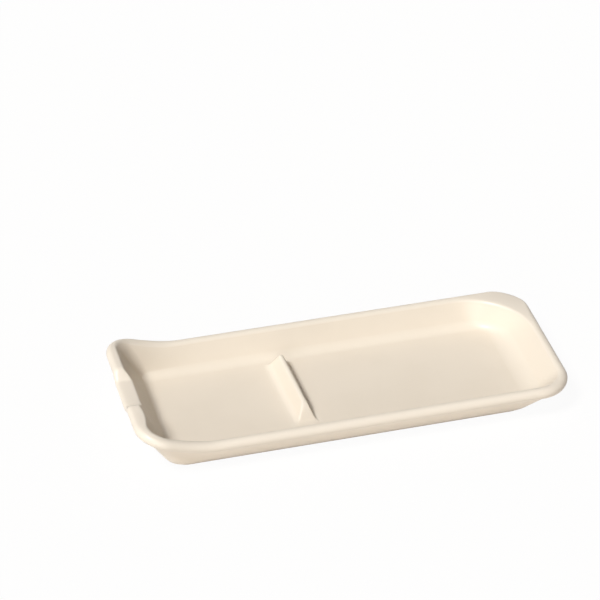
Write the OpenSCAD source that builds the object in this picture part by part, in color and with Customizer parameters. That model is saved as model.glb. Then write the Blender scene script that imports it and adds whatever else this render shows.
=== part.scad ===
// Spoon rest: a long tray with a rolled rim, raised corners and a notch at its handle end,
// a low cross rib on its floor and a gently sloped bowl end. +X runs to the bowl end, +Z is up,
// and the origin is the middle of the foot, on the table.

/* [Tray] */
// Overall length, between the outsides of the end rims
tray_l = 224.5; // [200:0.5:260]
// Overall width, between the outsides of the side rims
tray_w = 93.4; // [84:0.2:110]
// Height of the side rims above the table
side_h = 18; // [16:0.5:22]
// Thickness of the walls
wall_t = 4.1; // [3.6:0.1:5]
// Thickness of the floor above the table
floor_t = 5; // [4:0.1:6]

/* [Rim] */
// Diameter of the rolled bead along the rim
bead_d = 5.9; // [5.2:0.1:6.6]
// Radius of the hollow under the bead
lip_r = 1.4; // [1:0.1:3]
// Rounding of the bead's inner edge at the handle end
bead_edge_r = 1.6; // [1:0.1:2.4]
// Corner radius of the rim at the handle end, along the middle of the bead
rim_r_handle = 12.5; // [10:0.5:16]
// Corner radius of the inner half of the bead at the handle end's back corner
rim_in_r_handle = 11; // [8:0.5:18]
// Corner radius of the rim at the bowl end, along the middle of the bead
rim_r_bowl = 14.5; // [11:0.5:20]
// Corner radius of the inner half of the bead at the bowl end's back corner, which is wide and flat
rim_in_r_bowl = 36; // [20:1:38]
// How far the outer edge of that wide corner droops
corner_drop = 0.7; // [0:0.1:2]
// How far the rim of the handle end stands above the side rims
raise_h = 9.2; // [5:0.2:12]
// Length of each side rim that climbs to the handle end
raise_l = 41; // [30:1:60]

/* [Notch] */
// Depth of the notch in the rim of the handle end
notch_depth = 4.4; // [3:0.2:5]
// Width of the notch along its bottom
notch_w = 20; // [14:0.5:24]
// Width of each shoulder, from the bottom of the notch up to the rim
shoulder_w = 7; // [5:0.5:9]
// How far the inner edge of the notch lies in from the rim's, because the wall leans
notch_in = 3.2; // [0:0.1:3.6]
// How much wider the rim is in front of the notch than behind it
rim_swell = 1.8; // [0:0.1:2.5]
// Distance from the middle of the notch to the widest place of that rim
swell_y = 24; // [20:0.5:28]
// Length of rim to each side of that place along which it narrows again
swell_l = 16; // [12:0.5:18]

/* [Foot] */
// Distance from the outside of a side rim in to the edge of the foot
foot_in_side = 10.7; // [9:0.1:13]
// Distance from the outside of the handle end's rim in to the edge of the foot
foot_in_handle = 16.5; // [13:0.5:20]
// Distance from the outside of the bowl end's rim in to the edge of the foot
foot_in_bowl = 16; // [14:0.5:20]
// Corner radius of the foot at the handle end
foot_r_handle = 10; // [8.5:0.5:14]
// Corner radius of the foot at the bowl end
foot_r_bowl = 15; // [10:0.5:20]
// Rounding of the foot's edge on the table
foot_edge_r = 1.6; // [0.8:0.1:2.4]
// Width of the flat ring that stands on the table
foot_ring_w = 5; // [3:0.5:6]
// Depth of the recess inside the ring
recess_depth = 1; // [0.5:0.1:1.5]

/* [Floor] */
// Radius between the floor and the side walls
hollow_r_side = 6.5; // [5:0.5:10]
// Radius between the floor and the wall of the handle end
hollow_r_handle = 4; // [3:0.5:10]
// Radius between the floor and the slope of the bowl end
hollow_r_bowl = 14; // [8:1:20]
// Corner radius of the floor at the handle end
floor_r_handle = 4; // [3:0.5:14]
// Corner radius of the floor at the bowl end
floor_r_bowl = 6; // [4:0.5:14]

/* [Rib] */
// Distance from the outside of the handle end's rim to the crest of the rib
rib_x = 90.4; // [80:0.1:105]
// Height of the rib above the floor
rib_h = 7.5; // [5:0.1:9]
// Flat floor between the rib's front end and the front wall
rib_gap_front = 5.4; // [1:0.1:8]
// Flat floor between the rib's back end and the back wall
rib_gap_back = 0.5; // [0.4:0.1:4]
// Radius of the crest
crest_r = 1.5; // [0.8:0.1:2]
// Radius between the floor and the rib's steep faces, on its bowl side and at its back end
rib_hollow_r = 2.2; // [1.5:0.1:3]
// Radius between the floor and the rib's gentler faces, on its handle side and at its front end
rib_hollow_r_wide = 4.5; // [2:0.1:5]
// Slope of the rib's face towards the handle end, in degrees
rib_slope_handle = 57; // [45:1:62]
// Slope of the rib's face towards the bowl end, in degrees
rib_slope_bowl = 70; // [60:1:78]
// Slope of the rib's front end, in degrees
rib_slope_front = 41; // [35:1:65]
// Slope of the rib's back end, in degrees
rib_slope_back = 74; // [55:1:76]
// Turn of the rib from square across the tray, anticlockwise from above, in degrees
rib_turn = 2; // [0:0.5:4]

/* [Glaze] */
// Thickness of the glaze
glaze_t = 0.35; // [0.25:0.05:0.5]
// Bare height of wall above the table, measured up the slope
bare_h = 1.6; // [1.5:0.1:3]

/* [Hidden] */

bead_r = bead_d/2;
half_l = tray_l/2;
half_w = tray_w/2;
// The rim's line is the middle of the bead, and the foot's line is the edge of the foot
rim_handle_x = -half_l + bead_r;
rim_bowl_x = half_l - bead_r;
rim_side_y = half_w - bead_r;
foot_handle_x = -half_l + foot_in_handle;
foot_bowl_x = half_l - foot_in_bowl;
foot_side_y = half_w - foot_in_side;
bead_h = side_h - bead_r;
rib_crest_x = -half_l + rib_x;
// Shape of the climb to the handle end: 0 climbs evenly into the end, 2 levels out at it
climb_level_share = 1.36;
// Length of rib whose rows lie close together at its ends, as a share of the ends' own length
rib_end_rows_share = 1.35;
// How crisp the edges are where the rib's faces meet its ends: a higher power is crisper
hip_power = 8;
// How far the underside of the bead follows the notch, as a share of the notch's depth
notch_under_share = 0.35;

// Facets along each round or straight stretch
side_facets = 16;
handle_facets = 28;
bowl_facets = 6;
corner_facets = 10;
foot_facets = 3;
lip_facets = 3;
bead_low_facets = 4;
bead_out_facets = 5;
bead_in_facets = 3;
hollow_facets = 7;
crest_facets = 5;
rib_foot_facets = 4;
rib_face_facets = 4;
rib_end_facets = 10;

// The columns along a side crowd towards the handle end, where the rim climbs
side_crowd_share = 0.45;

function mix(a, b, s) = a + (b - a)*s;
function unit(s) = min(max(s, 0), 1);
function ease(s) = unit(s)*unit(s)*(3 - 2*unit(s));
function heading(a) = [cos(a), sin(a)];
function arc(centre, r, from, to, facets) =
    [for (i = [0:facets]) centre + r*heading(mix(from, to, i/facets))];
// The same without its first point, to go on from another arc's end
function next_arc(centre, r, from, to, facets) =
    arc(centre, r, mix(from, to, 1/facets), to, facets - 1);
function backwards(list) = [for (i = [len(list) - 1:-1:0]) list[i]];

// Section of a wall as [outward from the foot's edge, height], in order: the recess and the foot,
// the end of the bare wall, the hollow under the bead, the bead, and the curve down to the floor.
// The middle of the bead is out from the foot's edge by reach and above the table by rise, and its
// inner edge is rounded by edge_r. depth is how far the surface lies under the face of the glaze.
function wall_section(reach, rise, edge_r, hollow_r, depth) =
    let (
        lean = atan2(reach, rise) + asin((wall_t - bead_r)/norm([reach, rise])),
        up = [sin(lean), cos(lean)],
        out = [cos(lean), -sin(lean)],
        bead = [reach, rise],
        bead_up = bead*up,
        lip_up = bead_up - sqrt(pow(bead_r + lip_r, 2) - pow(lip_r + wall_t - bead_r, 2)),
        lip = lip_up*up + lip_r*out,
        to_bead = atan2(rise - lip.y, reach - lip.x),
        edge = bead + (bead_r - edge_r)*[-1, 1],
        hollow_out = edge*out - edge_r - hollow_r,
        hollow_up = (floor_t + hollow_r + hollow_out*sin(lean))/cos(lean),
        hollow = hollow_up*up + hollow_out*out,
        foot = [-(depth + foot_edge_r*(1 - sin(lean)))/cos(lean), foot_edge_r],
        ring_in = foot.x - foot_ring_w
    )
    concat(
        [[ring_in - recess_depth, recess_depth], [ring_in, 0]],
        arc(foot, foot_edge_r, -90, -lean, foot_facets),
        [bare_h*up - depth*out],
        arc(lip, lip_r + depth, 180 - lean, to_bead, lip_facets),
        next_arc(bead, bead_r - depth, to_bead - 180, 0, bead_low_facets),
        next_arc(bead, bead_r - depth, 0, 90, bead_out_facets),
        next_arc(edge, edge_r - depth, 90, 180 - lean, bead_in_facets),
        arc(hollow, hollow_r + depth, -lean, -90, hollow_facets)
    );

// Places in a section where its stretches start and end
bare_end = 2 + foot_facets + 1;
lip_start = bare_end + 1;
bead_top = lip_start + lip_facets + bead_low_facets + bead_out_facets;
bead_end = bead_top + bead_in_facets;
floor_end = bead_end + 1 + hollow_facets;

// Corner radius of the ring at place k of a section, from the foot's, the outer and inner half of
// the bead's and the floor's own
function ring_r(section, k, reach, foot_r, rim_r, rim_in_r, floor_r) =
    let (
        lip_r_here = rim_r + section[lip_start].x - reach,
        bead_end_r = rim_in_r + section[bead_end].x - reach
    )
    k < lip_start ? mix(foot_r, lip_r_here, section[k].x/section[lip_start].x)
    : k < bead_top ? rim_r + section[k].x - reach
    : k <= bead_end ? rim_in_r + section[k].x - reach
    : mix(
        bead_end_r, floor_r,
        (section[bead_end].x - section[k].x)/(section[bead_end].x - section[floor_end].x)
    );
function handle_r(section, k, rim_in_r) =
    ring_r(section, k, handle_reach, foot_r_handle, rim_r_handle, rim_in_r, floor_r_handle);
function bowl_r(section, k, rim_in_r) =
    ring_r(section, k, bowl_reach, foot_r_bowl, rim_r_bowl, rim_in_r, floor_r_bowl);

// Rounded rectangle from the front of the handle end's corner, anticlockwise from above
// r holds the corner radii at the front and back of the handle end and of the bowl end
function ring_plan(handle_x, bowl_x, side_y, r) =
    let (
        handle_front = [handle_x + r[0], r[0] - side_y],
        handle_back = [handle_x + r[1], side_y - r[1]],
        bowl_front = [bowl_x - r[2], r[2] - side_y],
        bowl_back = [bowl_x - r[3], side_y - r[3]]
    )
    concat(
        [for (x = columns(handle_front.x, bowl_front.x)) [x, -side_y]],
        corner(bowl_front, r[2], -90),
        [for (i = [0:bowl_facets]) [bowl_x, mix(bowl_front.y, bowl_back.y, i/bowl_facets)]],
        corner(bowl_back, r[3], 0),
        [for (x = backwards(columns(handle_back.x, bowl_back.x))) [x, side_y]],
        corner(handle_back, r[1], 90),
        [for (i = [0:handle_facets]) [handle_x, mix(handle_back.y, handle_front.y, i/handle_facets)]],
        corner(handle_front, r[0], 180)
    );
// A quarter turn without its ends
function corner(centre, r, from) =
    [for (i = [1:corner_facets - 1]) centre + r*heading(from + 90*i/corner_facets)];
function columns(from_x, to_x) =
    [for (i = [0:side_facets]) mix(from_x, to_x, side_share(i/side_facets))];
function side_share(s) = mix(s*s, s, side_crowd_share);

// What the rim does above each point of a ring: the climb to the handle end, as a share of
// raise_h, the notch, as a share of its depth, the swell in front of it, the turn from the side
// walls to the bowl end, and the droop of the wide corner
function climb(x) =
    let (s = unit((-half_l + raise_l - x)/(raise_l - bead_r)))
    s*s*(3 - climb_level_share*s)/(3 - climb_level_share);
function notch(x, y) = x < 0 ? 1 - ease((abs(y) - notch_w/2)/shoulder_w) : 0;
function swell(x, y) = x < 0 ? rim_swell*(1 - ease(abs(y + swell_y)/swell_l)) : 0;
function bowl_turn(x) = ease((x - rim_bowl_x + rim_r_bowl)/rim_r_bowl);
function droop(i) = corner_drop*pow(sin(180*unit((i - wide_start)/corner_facets)), 2);

// Share of the notch's depth that place k of a section follows: all of it from the top of the
// bead to its inner edge, less and less below that, inside and out, and none at the foot
function notch_share(section, k) =
    let (
        lip_h = section[lip_start].y,
        top_h = max([for (p = section) p.y]),
        inner_h = section[bead_end].y,
        floor_h = section[floor_end].y
    )
    k < lip_start ? 0
    : k < bead_top ? mix(notch_under_share, 1, (section[k].y - lip_h)/(top_h - lip_h))
    : k <= bead_end ? 1
    : (section[k].y - floor_h)/(inner_h - floor_h);
// Share of the swell and of notch_in, which leave the outside of the bead as it is
function inner_share(section, k) = k <= bead_top ? 0 : notch_share(section, k);

// Share of the droop that place k of a section follows: all of it along the outside of the bead
function droop_share(k) = k >= lip_start && k < bead_top ? 1 : 0;

// The bead's middle stands out from the foot's edge by these reaches
side_reach = rim_side_y - foot_side_y;
handle_reach = foot_handle_x - rim_handle_x;
bowl_reach = rim_bowl_x - foot_bowl_x;
function side_section(depth) = wall_section(side_reach, bead_h, bead_r, hollow_r_side, depth);
function bowl_section(depth) = wall_section(bowl_reach, bead_h, bead_r, hollow_r_bowl, depth);
function handle_section(depth) =
    wall_section(handle_reach, bead_h + raise_h, bead_edge_r, hollow_r_handle, depth);
function rim_plan() =
    ring_plan(
        rim_handle_x, rim_bowl_x, rim_side_y, [rim_r_handle, rim_r_handle, rim_r_bowl, rim_r_bowl]
    );

// Rings of points of the surface at a depth under the face of the glaze, from place first on
function surface_points(depth, first) =
    let (
        side = side_section(depth),
        handle = handle_section(depth),
        bowl = bowl_section(depth),
        rim = rim_plan()
    )
    [
        for (k = [first:floor_end])
            let (
                plan = ring_plan(
                    foot_handle_x - handle[k].x, foot_bowl_x + bowl[k].x, foot_side_y + side[k].x,
                    [
                        handle_r(handle, k, rim_r_handle), handle_r(handle, k, rim_in_r_handle),
                        bowl_r(bowl, k, rim_r_bowl), bowl_r(bowl, k, rim_in_r_bowl)
                    ]
                )
            )
            for (i = [0:len(plan) - 1])
                let (cut = notch(rim[i].x, plan[i].y))
                [
                    plan[i].x + inner_share(handle, k)*(swell(rim[i].x, rim[i].y) + notch_in*cut),
                    plan[i].y,
                    side[k].y + climb(rim[i].x)*(handle[k].y - side[k].y)
                    + bowl_turn(rim[i].x)*(bowl[k].y - side[k].y)
                    - notch_share(handle, k)*notch_depth*cut
                    - droop_share(k)*droop(i)
                ]
    ];

// Section of the rib as [outward from the crest towards the bowl end, height above the floor]
function rib_foot_x(slope, hollow_r) =
    (crest_r + hollow_r - cos(slope)*(hollow_r - rib_h + crest_r))/sin(slope);
function rib_section(depth) =
    let (
        first = arc(
            [-rib_foot_x(rib_slope_handle, rib_hollow_r_wide), rib_hollow_r_wide],
            rib_hollow_r_wide + depth, -90, rib_slope_handle - 90, rib_foot_facets
        ),
        crest = arc(
            [0, rib_h - crest_r], crest_r - depth,
            90 + rib_slope_handle, 90 - rib_slope_bowl, crest_facets
        ),
        last = arc(
            [rib_foot_x(rib_slope_bowl, rib_hollow_r), rib_hollow_r],
            rib_hollow_r + depth, -90 - rib_slope_bowl, -90, rib_foot_facets
        )
    )
    concat(
        first, between(first[rib_foot_facets], crest[0]),
        crest, between(crest[crest_facets], last[0]), last
    );
// Points on a straight face of the rib, without its ends
function between(from, to) =
    [for (i = [1:rib_face_facets - 1]) mix(from, to, i/rib_face_facets)];

// Height of an end of the rib at a distance in from its tip: a hollow, then an even slope
function rib_end_h(in, slope, hollow_r, depth) =
    let (r = hollow_r + depth)
    in < r*sin(slope) ? r - sqrt(r*r - in*in) : tan(slope)*(in - r*tan(slope/2));
// Distance in from the tip at which an end is as high as the rib
function rib_end_l(slope, hollow_r) = hollow_r*tan(slope/2) + rib_h/tan(slope);
// The lesser of two heights, with the edge between them rounded
function lesser(a, b) =
    min(a, b) <= 0 ? 0 : pow(pow(a, -hip_power) + pow(b, -hip_power), -1/hip_power);

// The rib's rows run from its front tip to its back tip, close together over its ends
floor_side_y = foot_side_y + side_section(0)[floor_end].x;
rib_front_y = rib_gap_front - floor_side_y;
rib_back_y = floor_side_y - rib_gap_back;
rib_end_steps = [for (i = [0:rib_end_facets]) rib_end_rows_share*i/rib_end_facets];
rib_rows = concat(
    [for (s = rib_end_steps) rib_front_y + s*rib_end_l(rib_slope_front, rib_hollow_r_wide)],
    [for (s = backwards(rib_end_steps)) rib_back_y - s*rib_end_l(rib_slope_back, rib_hollow_r)]
);
function rib_points(depth) =
    [
        for (y = rib_rows)
            let (
                front_h = rib_end_h(y - rib_front_y, rib_slope_front, rib_hollow_r_wide, depth),
                back_h = rib_end_h(rib_back_y - y, rib_slope_back, rib_hollow_r, depth)
            )
            for (p = rib_section(depth))
                [
                    rib_crest_x + p.x - y*tan(rib_turn),
                    y,
                    floor_t - depth + lesser(p.y + depth, lesser(front_h, back_h))
                ]
    ];

// Counts of points, the places in a ring where the wide corner and the back wall start and end,
// and the column of the front wall that lies next to the rib
ring_n = len(rim_plan());
row_n = len(rib_section(0));
row_last = len(rib_rows) - 1;
wide_start = side_facets + corner_facets + bowl_facets;
back_start = wide_start + corner_facets;
back_end = back_start + side_facets;
function rib_column(points, floor_at) =
    len([for (i = [0:side_facets]) if (points[floor_at + i].x < rib_crest_x) i]) - 1;

// Triangles of the strip between two rows of points, facing up with the first row on the right
// hand. The rows may differ in length, and either may be a single point.
function strip(right, left) =
    let (n = len(right) - 1, m = len(left) - 1)
    concat(
        [for (i = [0:1:n - 1]) [right[i + 1], right[i], left[ceil(((2*i + 1)*m - n)/(2*n))]]],
        [for (j = [0:1:m - 1]) [left[j], left[j + 1], right[floor(((2*j + 1)*n - m)/(2*m)) + 1]]]
    );

// Numbers of the points from one place to another of a ring, or along a row or a side of the rib
function ring_run(ring_at, from, to) = [for (i = [from:to]) ring_at + i%ring_n];
function rib_row(rib_at, j) = [for (i = [0:row_n - 1]) rib_at + j*row_n + i];
function rib_side(rib_at, i) = [for (j = [0:row_last]) rib_at + j*row_n + i];

// Faces of the flat floor around the rib
function floor_faces(points, floor_at, rib_at) =
    let (
        column = rib_column(points, floor_at),
        back_column = back_end - column,
        front_row = rib_row(rib_at, 0),
        back_row = rib_row(rib_at, row_last)
    )
    concat(
        strip(ring_run(floor_at, 0, column), [front_row[0]]),
        strip([floor_at + column], front_row),
        strip(ring_run(floor_at, column, side_facets), [front_row[row_n - 1]]),
        strip(ring_run(floor_at, side_facets, back_start), rib_side(rib_at, row_n - 1)),
        strip(ring_run(floor_at, back_start, back_column), [back_row[row_n - 1]]),
        strip([floor_at + back_column], backwards(back_row)),
        strip(ring_run(floor_at, back_column, back_end), [back_row[0]]),
        strip(ring_run(floor_at, back_end, ring_n), backwards(rib_side(rib_at, 0)))
    );

// Faces of a surface whose points start at base and whose rings start at place first
function surface_faces(points, base, first) =
    let (
        floor_at = base + (floor_end - first)*ring_n,
        rib_at = floor_at + ring_n
    )
    concat(
        [
            for (at = [base:ring_n:floor_at - ring_n])
                each strip(ring_run(at, 0, ring_n), ring_run(at + ring_n, 0, ring_n))
        ],
        floor_faces(points, floor_at, rib_at),
        [for (j = [0:row_last - 1]) each strip(rib_row(rib_at, j), rib_row(rib_at, j + 1))]
    );

// Faces of the recess in the foot, which look down
function recess_faces() =
    concat(
        strip(backwards(ring_run(0, back_start, back_end)), ring_run(0, 0, side_facets)),
        strip([back_start], ring_run(0, side_facets, back_start - 1)),
        strip([0], ring_run(0, back_end, ring_n - 1))
    );

// The fired clay, with its bare foot
module stoneware_body() {
    points = concat(surface_points(glaze_t, 0), rib_points(glaze_t));
    color([0.80, 0.70, 0.56])
        polyhedron(points, concat(recess_faces(), surface_faces(points, 0, 0)));
}

// The glaze over all of it but the foot
module glaze_coat() {
    face = concat(surface_points(0, bare_end), rib_points(0));
    back = concat(surface_points(glaze_t, bare_end), rib_points(glaze_t));
    points = concat(face, back);
    back_at = len(face);
    back_faces = [for (f = surface_faces(points, back_at, bare_end)) backwards(f)];
    lower_edge = strip(ring_run(back_at, 0, ring_n), ring_run(0, 0, ring_n));
    color([0.96, 0.92, 0.84])
        polyhedron(points, concat(surface_faces(points, 0, bare_end), back_faces, lower_edge));
}

stoneware_body();
glaze_coat();
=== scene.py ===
"""Looks of a glazed stoneware spoon rest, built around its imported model.

Sizes are in metres. +X runs to the bowl end, +Y to the back wall and +Z up from the table.
"""

import math
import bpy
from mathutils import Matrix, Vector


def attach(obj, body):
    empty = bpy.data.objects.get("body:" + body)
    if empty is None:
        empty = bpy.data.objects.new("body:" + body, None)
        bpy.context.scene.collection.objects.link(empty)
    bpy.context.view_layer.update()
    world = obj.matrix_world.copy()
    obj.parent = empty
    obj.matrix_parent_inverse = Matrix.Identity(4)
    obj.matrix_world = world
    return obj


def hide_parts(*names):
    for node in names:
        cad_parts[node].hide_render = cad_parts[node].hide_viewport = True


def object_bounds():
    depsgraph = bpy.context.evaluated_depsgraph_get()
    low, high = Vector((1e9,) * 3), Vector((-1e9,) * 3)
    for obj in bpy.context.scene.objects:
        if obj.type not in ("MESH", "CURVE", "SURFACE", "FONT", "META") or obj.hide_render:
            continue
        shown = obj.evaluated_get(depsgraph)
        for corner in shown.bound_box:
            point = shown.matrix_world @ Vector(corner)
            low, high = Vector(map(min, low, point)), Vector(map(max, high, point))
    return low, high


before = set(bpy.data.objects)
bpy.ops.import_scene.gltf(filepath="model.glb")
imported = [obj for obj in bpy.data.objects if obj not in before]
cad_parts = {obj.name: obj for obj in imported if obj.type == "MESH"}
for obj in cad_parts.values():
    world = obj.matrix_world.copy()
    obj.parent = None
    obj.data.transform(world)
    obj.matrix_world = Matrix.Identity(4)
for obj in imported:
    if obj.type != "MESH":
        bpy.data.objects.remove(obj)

from types import SimpleNamespace

import bpy
import numpy as np
from bpy.props import FloatProperty, FloatVectorProperty, PointerProperty
from mathutils import Matrix

bl_info = {
    "name": "Spoon Rest",
    "version": (1, 0, 0),
    "blender": (4, 5, 0),
    "location": "3D View > Sidebar > Spoon Rest",
    "description": "Makes the clay, the glaze and the studio of a stoneware spoon rest",
    "category": "Add Mesh",
}

MM = 0.001
CAD_BOX = [list(corner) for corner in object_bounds()]
CAD_SIZE = np.subtract(CAD_BOX[1], CAD_BOX[0])

# Faces along each stretch of a section, of a ring and of the floor
RECESS_STEPS = 2
FOOT_STEPS = 6
EDGE_STEPS = 5
WALL_STEPS = 4
LIP_STEPS = 8
BEAD_LOW_STEPS = 9
BEAD_OUT_STEPS = 14
BEAD_IN_STEPS = 11
INNER_STEPS = 6
HOLLOW_STEPS = 14
CORNER_STEPS = 16
HANDLE_SIDE_STEPS = 38
BOWL_SIDE_STEPS = 32
RIB_FOOT_STEPS = 6
RIB_FACE_STEPS = 8
CREST_STEPS = 10
RIB_END_STEPS = 16
GAP_STEPS = 5
FLOOR_STEPS = 40

# The handle end's columns crowd towards its corner by this power
HANDLE_CROWD = 1.3
# Shape of the climb to the handle end: 0 climbs evenly into the end, 2 levels out at it
CLIMB_LEVEL = 1.36
# Length of rib whose rows lie close together at its ends, as a share of the ends' own length
RIB_END_ROWS_SHARE = 1.35
# How crisp the edges are where the rib's faces meet its ends: a higher power is crisper
HIP_POWER = 8.0
# Least height of the rib's faces, which stands for none
NO_HEIGHT = 1.0e-9
# How far the underside of the bead follows the notch, as a share of the notch's depth
NOTCH_UNDER_SHARE = 0.35
# Angles round the bead, from its outside, over which the wide corner and the rim's further
# inner edge set in
WIDE_ANGLES = np.radians([53.0, 114.0])
INNER_ANGLES = np.radians([60.0, 110.0])
# Radius at which a round counts as fully bent for the glaze's colour
BEND_R = 3.0*MM
# Faces that meet at more than this angle keep a crisp edge
CRISP_ANGLE = math.radians(50.0)
QUARTER = math.pi/2

# Stretches of a wall's section: the outer face, the lip and the outer bead, the inner bead and
# the inside
OUTER_FACE, OUTER_BEAD, INNER_BEAD, INSIDE = range(4)

# Noises in the glaze and the clay: features per metre, steps of finer detail, and their strength
CLOUDS = (38.0, 3.0, 0.5)
WAVES = (45.0, 1.0, 0.5)
GRAIN = (620.0, 2.0, 0.5)
PATCHES = (60.0, 3.0, 0.5)
SAND = (1400.0, 3.0, 0.65)
# Grog spots in the clay, per metre
GROG_SCALE = 900.0
# Each colour's share: it grows between the first two values, from the third to the fourth
CLOUD_SHARE = (0.42, 0.72, 0.0, 0.55)
POOL_SHARE = (-0.05, -0.6, 0.0, 0.5)
# Share of the paler colour over rounds, a painted sheen that lights the beads
PAINTED_SHEEN_SHARE = (0.2, 0.9, 0.0, 0.5)
PATCH_SHARE = (0.35, 0.7, 0.0, 0.35)
GROG_SHARE = (0.22, 0.08, 0.0, 0.6)
# Values of the grain and the sand between which the roughness changes
ROUGH_RANGE = (0.3, 0.7)
# How much smoother and rougher the glaze gets with its grain, and the clay's roughness
GRAIN_SMOOTHER, GRAIN_ROUGHER = 0.03, 0.04
SAND_ROUGHNESS = (0.82, 0.95)
# Depth and strength of the waves in the glaze and of the sand in the clay
WAVE_DEPTH, WAVE_STRENGTH = 0.4*MM, 0.25
SAND_DEPTH, SAND_STRENGTH = 0.15*MM, 0.6
# Gloss of the glaze
GLAZE_IOR = 1.5
GLAZE_SPECULAR = 0.3
COAT_WEIGHT = 0.2
COAT_ROUGHNESS = 0.2
WHITE = (1.0, 1.0, 1.0, 1.0)
# Numbers of the colour sockets on the node that mixes two colours
MIX_FIRST, MIX_SECOND, MIX_RESULT = 6, 7, 2


def length(label, text, millimetres):
    """A size in the sidebar, kept in metres and given here in millimetres."""
    return FloatProperty(
        name=label, description=text, default=millimetres*MM, min=0.0, unit="LENGTH", precision=5
    )


def angle(label, text, degrees):
    """An angle in the sidebar, kept in radians and given here in degrees."""
    return FloatProperty(
        name=label, description=text, default=math.radians(degrees), subtype="ANGLE"
    )


def share(label, text, value, top=1.0):
    """A plain number in the sidebar, from zero to top."""
    return FloatProperty(
        name=label, description=text, default=value, min=0.0, max=top, subtype="FACTOR"
    )


def tint(label, text, red, green, blue):
    """A linear colour in the sidebar."""
    return FloatVectorProperty(
        name=label, description=text, default=(red, green, blue), min=0.0, max=1.0, size=3,
        subtype="COLOR",
    )


class SpoonRestTray(bpy.types.PropertyGroup):
    """Sizes of the tray"""

    tray_l: length("Length", "Between the outsides of the end rims", CAD_SIZE[0]/MM)
    tray_w: length("Width", "Between the outsides of the side rims", CAD_SIZE[1]/MM)
    side_h: length("Side height", "Height of the side rims above the table", 18.0)
    wall_t: length("Wall", "Thickness of the walls", 4.1)
    floor_t: length("Floor", "Thickness of the floor above the table", 5.0)
    bead_d: length("Bead", "Diameter of the rolled bead along the rim", 5.9)
    lip_r: length("Lip hollow", "Radius of the hollow under the bead", 1.4)
    bead_edge_r: length("Bead edge", "Rounding of the bead's inner edge at the handle end", 1.6)
    rim_r_handle: length("Handle end corner", "Corner radius along the middle of the bead", 12.5)
    rim_in_r_handle: length("Handle end back corner", "Inner radius of the bead there", 11.0)
    rim_r_bowl: length("Bowl end corner", "Corner radius along the middle of the bead", 14.5)
    rim_in_r_bowl: length("Wide corner", "Inner radius of the bowl end's wide back corner", 36.0)
    corner_drop: length("Corner droop", "How far the wide corner's outer edge droops", 0.7)
    raise_h: length("Handle end rise", "Height of the handle end's rim above the side rims", 9.2)
    raise_l: length("Climb", "Length of each side rim that climbs to the handle end", 41.0)
    notch_depth: length("Notch depth", "Depth of the notch in the handle end's rim", 4.4)
    notch_w: length("Notch width", "Width of the notch along its bottom", 20.0)
    shoulder_w: length("Notch shoulder", "Width of each shoulder of the notch", 7.0)
    notch_in: length("Notch edge", "How far the notch's inner edge lies in from the rim's", 3.2)
    rim_swell: length("Rim swell", "How much wider the rim is in front of the notch", 1.8)
    swell_y: length("Swell place", "From the middle of the notch to the rim's widest place", 24.0)
    swell_l: length("Swell length", "Length to each side of it along which the rim narrows", 16.0)
    foot_in_side: length("Foot from side", "From the side rim in to the foot's edge", 10.7)
    foot_in_handle: length("Foot from handle end", "From the end rim in to the foot's edge", 16.5)
    foot_in_bowl: length("Foot from bowl end", "From the end rim in to the foot's edge", 16.0)
    foot_r_handle: length("Foot corner, handle end", "Corner radius of the foot", 10.0)
    foot_r_bowl: length("Foot corner, bowl end", "Corner radius of the foot", 15.0)
    foot_edge_r: length("Foot rounding", "Rounding of the foot's edge on the table", 1.6)
    foot_ring_w: length("Foot ring", "Width of the flat ring on the table", 5.0)
    recess_depth: length("Recess", "Depth of the recess inside the foot ring", 1.0)
    hollow_r_side: length("Side hollow", "Radius between floor and side walls", 6.5)
    hollow_r_handle: length("Handle end hollow", "Radius between floor and handle end", 4.0)
    hollow_r_bowl: length("Bowl end hollow", "Radius between floor and bowl end's slope", 14.0)
    floor_r_handle: length("Floor corner, handle end", "Corner radius of the floor", 4.0)
    floor_r_bowl: length("Floor corner, bowl end", "Corner radius of the floor", 6.0)
    rib_x: length("Rib place", "From the handle end's outside to the rib's crest", 90.4)
    rib_h: length("Rib height", "Height of the rib above the floor", 7.5)
    rib_gap_front: length("Rib gap, front", "Floor between the rib and the front wall", 5.4)
    rib_gap_back: length("Rib gap, back", "Floor between the rib and the back wall", 0.5)
    crest_r: length("Rib crest", "Radius of the rib's crest", 1.5)
    rib_hollow_r: length("Rib hollow", "Radius between the floor and the rib's steep faces", 2.2)
    rib_hollow_r_wide: length(
        "Wide rib hollow", "Radius at the rib's handle side and front end", 4.5
    )
    rib_slope_handle: angle("Rib slope, handle side", "Slope of the rib's long face", 57.0)
    rib_slope_bowl: angle("Rib slope, bowl side", "Slope of the rib's steep face", 70.0)
    rib_slope_front: angle("Rib slope, front", "Slope of the rib's front end", 41.0)
    rib_slope_back: angle("Rib slope, back", "Slope of the rib's back end", 74.0)
    rib_turn: angle("Rib turn", "Turn of the rib from square across the tray", 2.0)
    glaze_t: length("Glaze", "Thickness of the glaze", 0.35)
    bare_h: length("Bare height", "Bare wall above the table, up the slope", 1.6)


class SpoonRestFinish(bpy.types.PropertyGroup):
    """Colours and gloss of the glaze and the clay"""

    ivory: tint("Ivory", "The glaze where it lies evenly", 0.835, 0.752, 0.634)
    # Paler colour over rounds: a painted sheen that lights the beads
    painted_sheen_ivory: tint(
        "Thin ivory", "The glaze where it runs thin over a round edge", 0.87, 0.80, 0.695
    )
    pooled_ivory: tint("Pooled ivory", "The glaze where it pools in a hollow", 0.85, 0.775, 0.66)
    cloud_ivory: tint("Cloudy ivory", "Faint clouds in the glaze", 0.81, 0.727, 0.608)
    gloss_roughness: share("Glaze roughness", "Roughness of the glaze", 0.42)
    buff: tint("Buff", "The bare clay", 0.58, 0.45, 0.32)
    dark_buff: tint("Dark buff", "Sandy spots in the bare clay", 0.42, 0.30, 0.20)


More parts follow.
